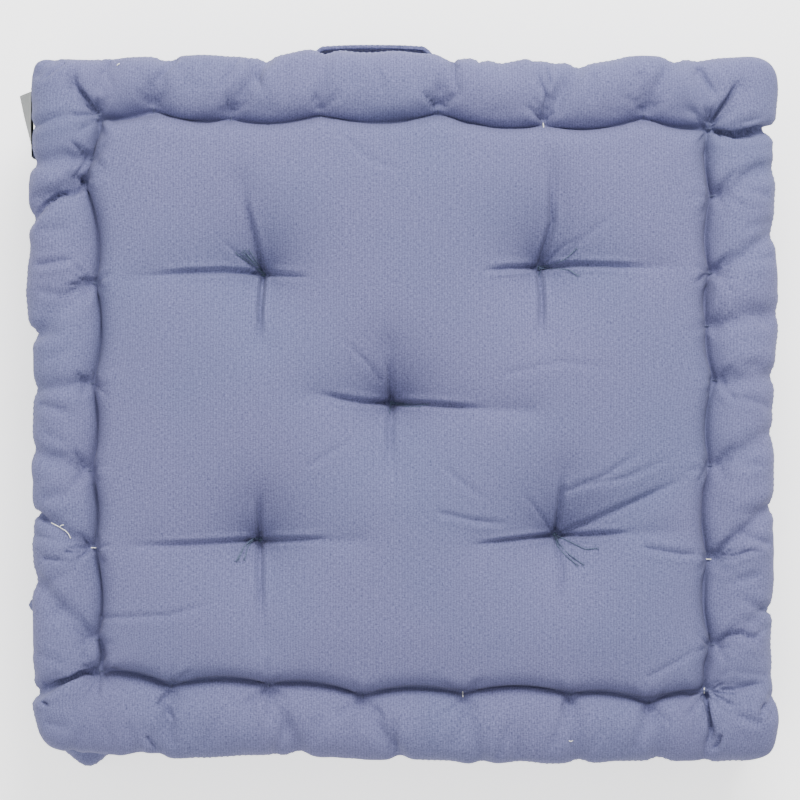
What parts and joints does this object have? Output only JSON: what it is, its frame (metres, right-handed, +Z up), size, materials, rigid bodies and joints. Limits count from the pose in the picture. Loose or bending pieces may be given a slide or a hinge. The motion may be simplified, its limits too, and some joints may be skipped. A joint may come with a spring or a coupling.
{
  "type": "floor cushion",
  "caption": "Square boxed floor cushion in canvas with hand-stitched rolled edges top and bottom, thread tufts, a carry strap on the back of the band and a blank label.",
  "frame": {"origin": "on the floor under the middle of the whole box, with the strap and the label included", "axes": "+Z up, +Y towards the back, where the carry strap is, +X to the right seen from above with the back away from the viewer"},
  "size_m": [0.4556, 0.433, 0.1],
  "materials": {
    "canvas": "matt plain-weave cotton canvas, periwinkle blue, crumpled",
    "seam_thread": "sewing thread dyed to match the canvas",
    "wadding": "loose cotton wadding, undyed",
    "natural_thread": "undyed cotton stitching thread",
    "tuft_thread": "dark blue-grey cotton tufting thread",
    "label_tape": "blank grey-beige woven tape"
  },
  "bodies": {
    "cushion": {"top_panel": "canvas", "bottom_panel": "canvas", "side_band_front": "canvas", "side_band_right": "canvas", "side_band_back": "canvas", "side_band_left": "canvas", "handle_end_left": "canvas", "handle_end_right": "canvas", "top_seam_thread": "seam_thread", "bottom_seam_thread": "seam_thread", "corner_seam_thread_front": "seam_thread", "corner_seam_thread_right": "seam_thread", "corner_seam_thread_back": "seam_thread", "corner_seam_thread_left": "seam_thread", "filling": "wadding", "opening_closing_thread": "natural_thread", "handle_stitching_left": "natural_thread", "handle_stitching_right": "natural_thread", "roll_stitching_top_front": "natural_thread", "roll_stitching_top_right": "natural_thread", "roll_stitching_top_back": "natural_thread", "roll_stitching_top_left": "natural_thread", "roll_stitching_bottom_front": "natural_thread", "roll_stitching_bottom_right": "natural_thread", "roll_stitching_bottom_back": "natural_thread", "roll_stitching_bottom_left": "natural_thread", "tuft_tie_middle": "tuft_thread", "tuft_tie_front_left": "tuft_thread", "tuft_tie_front_right": "tuft_thread", "tuft_tie_back_left": "tuft_thread", "tuft_tie_back_right": "tuft_thread"},
    "grip": {"handle_grip": "canvas"},
    "label": {"blank_label": "label_tape"}
  },
  "joints": [
    {"name": "strap_swing", "type": "hinge", "parent": "cushion", "child": "grip", "pos_m": [-0.00917, 0.2058, 0.05], "axis": [1, 0, 0], "range_deg": [-20, 20]},
    {"name": "label_swing", "type": "hinge", "parent": "cushion", "child": "label", "pos_m": [-0.22272, 0.166, 0.0815], "axis": [0, 1, 0], "range_deg": [-14, 140]}
  ]
}
